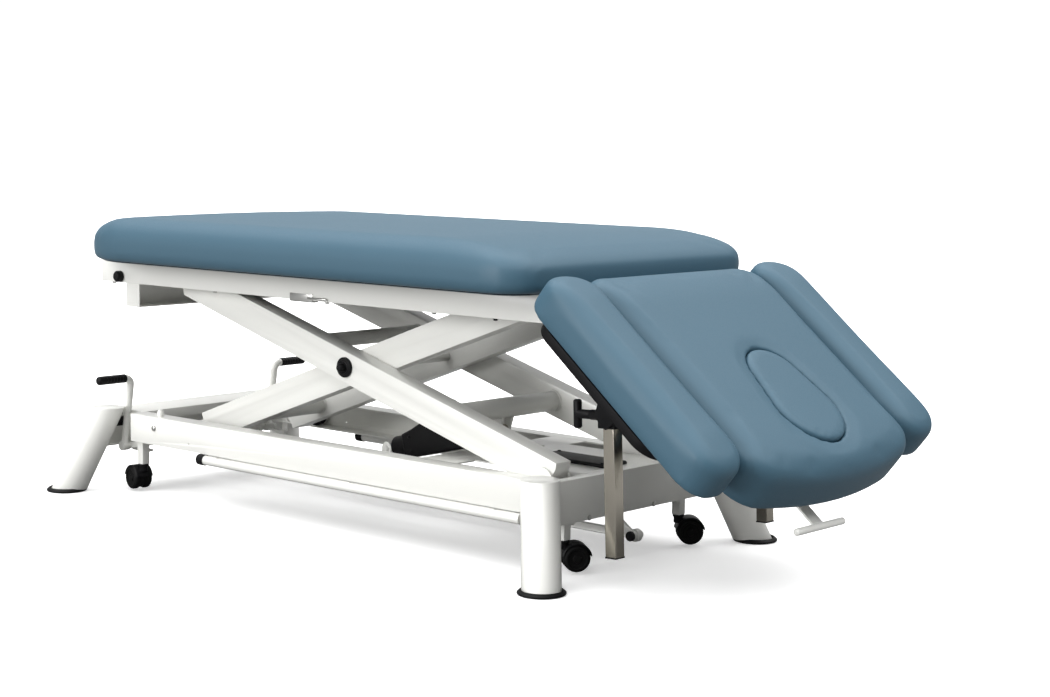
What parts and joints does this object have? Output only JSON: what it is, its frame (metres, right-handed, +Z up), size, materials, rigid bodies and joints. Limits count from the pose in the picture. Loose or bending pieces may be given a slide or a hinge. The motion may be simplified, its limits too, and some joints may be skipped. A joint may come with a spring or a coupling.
{
  "type": "electric osteopathy table",
  "caption": "Height adjustable treatment table with scissor lift, tilting head section with face opening, drop arm supports and castors lowered by a hand lever.",
  "frame": {"origin": "floor level under the middle of the whole table", "axes": "+X towards the head section, +Z up, -Y the side nearest in the picture"},
  "size_m": [1.8354, 0.7126, 0.6001],
  "materials": {
    "white_paint": "glossy powder coat",
    "upholstery": "matte vinyl, fine grain",
    "board_black": "black faced board",
    "black_plastic": "satin moulding",
    "rubber": "matte",
    "chrome": "bright plated",
    "zinc_steel": "zinc plated",
    "black_paint": "black enamel"
  },
  "bodies": {
    "base": {"side_beams": "white_paint", "base_cross_members": "white_paint", "head_cross_beam": "white_paint", "equipment_tray": "white_paint", "control_box": "black_plastic", "leg_tubes": "white_paint", "foot_rings": "black_plastic", "base_fasteners": "zinc_steel", "lever_stops": "rubber"},
    "outer_arms": {"outer_arms": "white_paint", "outer_braces": "white_paint", "pivot_axle": "zinc_steel", "pivot_caps": "black_plastic", "top_rollers": "black_plastic"},
    "inner_arms": {"inner_arms": "white_paint", "base_rollers": "black_plastic"},
    "actuator_housing": {"actuator_housing": "black_plastic"},
    "actuator_rod": {"actuator_rod": "chrome"},
    "bed_frame": {"bed_rails": "white_paint", "foot_end_hanger": "white_paint", "head_end_tube": "white_paint", "bed_board": "board_black", "bed_cushion": "upholstery", "roll_holder_studs": "black_plastic"},
    "head_section": {"head_frame": "white_paint", "head_board": "board_black", "head_cushion": "upholstery", "arm_posts": "chrome"},
    "face_plug": {"face_plug": "upholstery"},
    "release_lever": {"release_lever": "white_paint"},
    "gas_cylinder": {"gas_cylinder": "black_paint"},
    "gas_rod": {"gas_rod": "chrome"},
    "arm_support_near": {"arm_board_near": "board_black", "arm_cushion_near": "upholstery", "arm_clamp_near": "black_plastic"},
    "arm_support_far": {"arm_board_far": "board_black", "arm_cushion_far": "upholstery", "arm_clamp_far": "black_plastic"},
    "clamp_knob_near": {"clamp_knob_near": "black_plastic"},
    "clamp_knob_far": {"clamp_knob_far": "black_plastic"},
    "castor_lever": {"hand_levers": "white_paint", "lever_grips": "black_plastic"},
    "foot_castor_posts": {"foot_castor_posts": "white_paint"},
    "head_castor_posts": {"head_castor_posts": "white_paint"},
    "head_lift_shaft": {"head_lift_shaft": "white_paint"},
    "link_rod": {"link_rod": "white_paint"},
    "foot_bars": {"foot_bars": "white_paint", "foot_bar_caps": "black_plastic"},
    "castor_swivel_head_near": {"castor_fork_head_near": "black_plastic"},
    "castor_wheel_head_near": {"castor_wheels_head_near": "rubber"},
    "castor_swivel_head_far": {"castor_fork_head_far": "black_plastic"},
    "castor_wheel_head_far": {"castor_wheels_head_far": "rubber"},
    "castor_swivel_foot_near": {"castor_fork_foot_near": "black_plastic"},
    "castor_wheel_foot_near": {"castor_wheels_foot_near": "rubber"},
    "castor_swivel_foot_far": {"castor_fork_foot_far": "black_plastic"},
    "castor_wheel_foot_far": {"castor_wheels_foot_far": "rubber"}
  },
  "joints": [
    {"name": "outer_lift", "type": "hinge", "parent": "base", "child": "outer_arms", "pos_m": [0.38752, 0, 0.165], "axis": [0, 1, 0], "range_deg": [-2.5, 20.5]},
    {"name": "inner_swing", "type": "hinge", "parent": "outer_arms", "child": "inner_arms", "pos_m": [-0.13052, 0, 0.32437], "axis": [0, 1, 0], "range_deg": [-41.55, 5.15]},
    {"name": "bed_level", "type": "hinge", "parent": "inner_arms", "child": "bed_frame", "pos_m": [0.34129, 0, 0.49347], "axis": [0, 1, 0], "range_deg": [-2.66, 21.05]},
    {"name": "actuator_tilt", "type": "hinge", "parent": "base", "child": "actuator_housing", "pos_m": [-0.18748, 0, 0.138], "axis": [0, 1, 0], "range_deg": [-14.04, 1.8]},
    {"name": "actuator_rod_eye", "type": "hinge", "parent": "outer_arms", "child": "actuator_rod", "pos_m": [0.11452, 0, 0.207], "axis": [0, 1, 0], "range_deg": [-34.54, 4.3]},
    {"name": "head_tilt", "type": "hinge", "parent": "bed_frame", "child": "head_section", "pos_m": [0.44952, 0, 0.49347], "axis": [0, -1, 0], "range_deg": [-5, 39.2]},
    {"name": "gas_cylinder_eye", "type": "hinge", "parent": "bed_frame", "child": "gas_cylinder", "pos_m": [0.28252, 0, 0.43047], "axis": [0, -1, 0], "range_deg": [-2.33, 17.54]},
    {"name": "gas_rod_eye", "type": "hinge", "parent": "head_section", "child": "gas_rod", "pos_m": [0.54841, 0, 0.38056], "axis": [0, -1, 0], "range_deg": [-21.86, 2.88]},
    {"name": "plug_lift", "type": "slide", "parent": "head_section", "child": "face_plug", "axis": [0.632, 0, 0.7749], "range_m": [0, 0.12]},
    {"name": "release_lever", "type": "hinge", "parent": "head_section", "child": "release_lever", "pos_m": [0.78965, 0, 0.17478], "axis": [0, -1, 0], "range_deg": [0, 8], "stiffness_Nm_per_rad": 3, "springref_deg": -5.73},
    {"name": "arm_slide_near", "type": "slide", "parent": "head_section", "child": "arm_support_near", "axis": [0.0436, 0, -0.999], "range_m": [0, 0.1]},
    {"name": "arm_slide_far", "type": "slide", "parent": "head_section", "child": "arm_support_far", "axis": [0.0436, 0, -0.999], "range_m": [0, 0.1]},
    {"name": "clamp_knob_near", "type": "hinge", "parent": "arm_support_near", "child": "clamp_knob_near", "pos_m": [0.52306, -0.222, 0.30381], "axis": [-0.999, 0, -0.0436], "range_deg": [-180, 180]},
    {"name": "clamp_knob_far", "type": "hinge", "parent": "arm_support_far", "child": "clamp_knob_far", "pos_m": [0.52306, 0.222, 0.30381], "axis": [-0.999, 0, -0.0436], "range_deg": [-180, 180]},
    {"name": "castor_lever", "type": "hinge", "parent": "base", "child": "castor_lever", "pos_m": [-0.81248, 0, 0.094], "axis": [0, 1, 0], "range_deg": [0, 16]},
    {"name": "head_lift", "type": "hinge", "parent": "base", "child": "head_lift_shaft", "pos_m": [0.39052, 0, 0.094], "axis": [0, 1, 0], "range_deg": [-1, 17]},
    {"name": "link_pin", "type": "hinge", "parent": "head_lift_shaft", "child": "link_rod", "pos_m": [0.45352, 0, 0.05], "axis": [0, 1, 0], "range_deg": [-17, 1]},
    {"name": "foot_castor_drop", "type": "slide", "parent": "base", "child": "foot_castor_posts", "axis": [0, 0, -1], "range_m": [-0.0002, 0.01022]},
    {"name": "head_castor_drop", "type": "slide", "parent": "base", "child": "head_castor_posts", "axis": [0, 0, -1], "range_m": [-0.0002, 0.01022]},
    {"name": "castor_swivel_head_near", "type": "hinge", "parent": "head_castor_posts", "child": "castor_swivel_head_near", "pos_m": [0.42252, -0.168, 0.062], "axis": [0, 0, 1], "continuous": true},
    {"name": "castor_spin_head_near", "type": "hinge", "parent": "castor_swivel_head_near", "child": "castor_wheel_head_near", "pos_m": [0.43606, -0.15066, 0.03], "axis": [-0.788, 0.6157, 0], "continuous": true},
    {"name": "castor_swivel_head_far", "type": "hinge", "parent": "head_castor_posts", "child": "castor_swivel_head_far", "pos_m": [0.42252, 0.168, 0.062], "axis": [0, 0, 1], "continuous": true},
    {"name": "castor_spin_head_far", "type": "hinge", "parent": "castor_swivel_head_far", "child": "castor_wheel_head_far", "pos_m": [0.4378, 0.18382, 0.03], "axis": [-0.7193, 0.6947, 0], "continuous": true},
    {"name": "castor_swivel_foot_near", "type": "hinge", "parent": "foot_castor_posts", "child": "castor_swivel_foot_near", "pos_m": [-0.74448, -0.206, 0.062], "axis": [0, 0, 1], "continuous": true},
    {"name": "castor_spin_foot_near", "type": "hinge", "parent": "castor_swivel_foot_near", "child": "castor_wheel_foot_near", "pos_m": [-0.76626, -0.20294, 0.03], "axis": [-0.1392, -0.9903, 0], "continuous": true},
    {"name": "castor_swivel_foot_far", "type": "hinge", "parent": "foot_castor_posts", "child": "castor_swivel_foot_far", "pos_m": [-0.74448, 0.206, 0.062], "axis": [0, 0, 1], "continuous": true},
    {"name": "castor_spin_foot_far", "type": "hinge", "parent": "castor_swivel_foot_far", "child": "castor_wheel_foot_far", "pos_m": [-0.76515, 0.19848, 0.03], "axis": [0.342, -0.9397, 0], "continuous": true},
    {"name": "foot_bar_press", "type": "slide", "parent": "base", "child": "foot_bars", "axis": [0, 0, -1], "range_m": [0, 0.008], "stiffness_N_per_m": 3000, "springref_m": -0.012}
  ],
  "couplings": [
    {"joint": "inner_swing", "follows": "outer_lift", "ratio": -2.022},
    {"joint": "bed_level", "follows": "outer_lift", "ratio": 1.022},
    {"joint": "actuator_tilt", "follows": "outer_lift", "ratio": -0.68},
    {"joint": "actuator_rod_eye", "follows": "outer_lift", "ratio": -1.68},
    {"joint": "gas_cylinder_eye", "follows": "head_tilt", "ratio": 0.445},
    {"joint": "gas_rod_eye", "follows": "head_tilt", "ratio": -0.555},
    {"joint": "head_lift", "follows": "castor_lever", "ratio": 1},
    {"joint": "link_pin", "follows": "castor_lever", "ratio": -1},
    {"joint": "foot_castor_drop", "follows": "castor_lever", "m_per_rad": 0.035883},
    {"joint": "head_castor_drop", "follows": "castor_lever", "m_per_rad": 0.035883}
  ]
}
